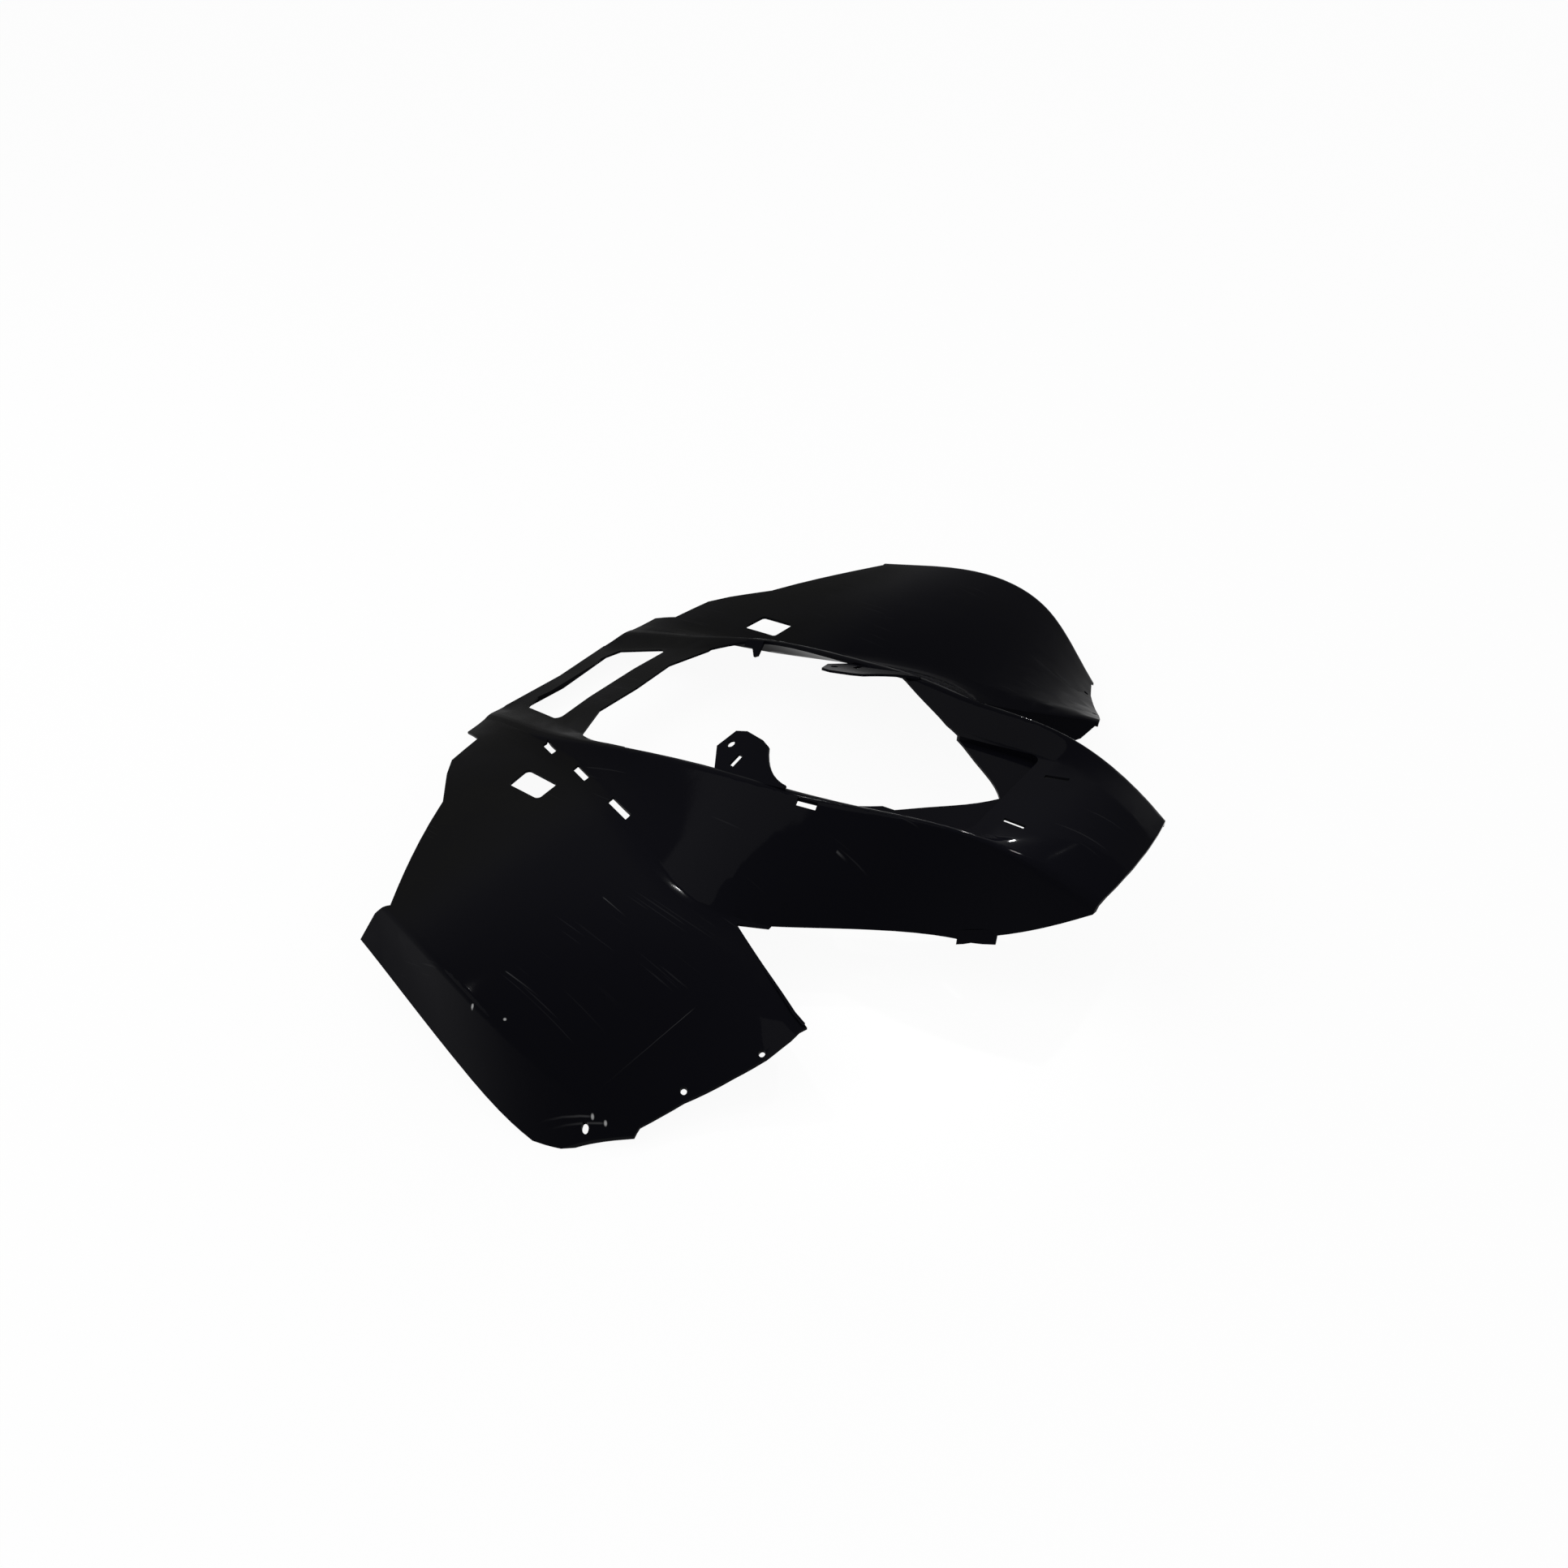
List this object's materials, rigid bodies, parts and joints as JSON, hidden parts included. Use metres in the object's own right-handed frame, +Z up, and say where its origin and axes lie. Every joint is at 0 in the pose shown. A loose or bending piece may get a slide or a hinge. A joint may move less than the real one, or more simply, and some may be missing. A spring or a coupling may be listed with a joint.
{
  "type": "quad bike front mudguard",
  "caption": "One-piece glossy black front mudguard for a quad bike, with a nose, a wing over each wheel, a rear bridge with a window and a central opening.",
  "frame": {"origin": "on the floor under the middle of the mudguard's length and width", "axes": "+X towards the nose, +Y to the left wing, +Z up, as the mudguard lies on a flat floor"},
  "size_m": [0.8061, 0.9848, 0.1843],
  "materials": {
    "shell": "gloss black moulded plastic with light handling scratches"
  },
  "bodies": {
    "root": {"mudguard_shell": "shell"}
  },
  "joints": []
}
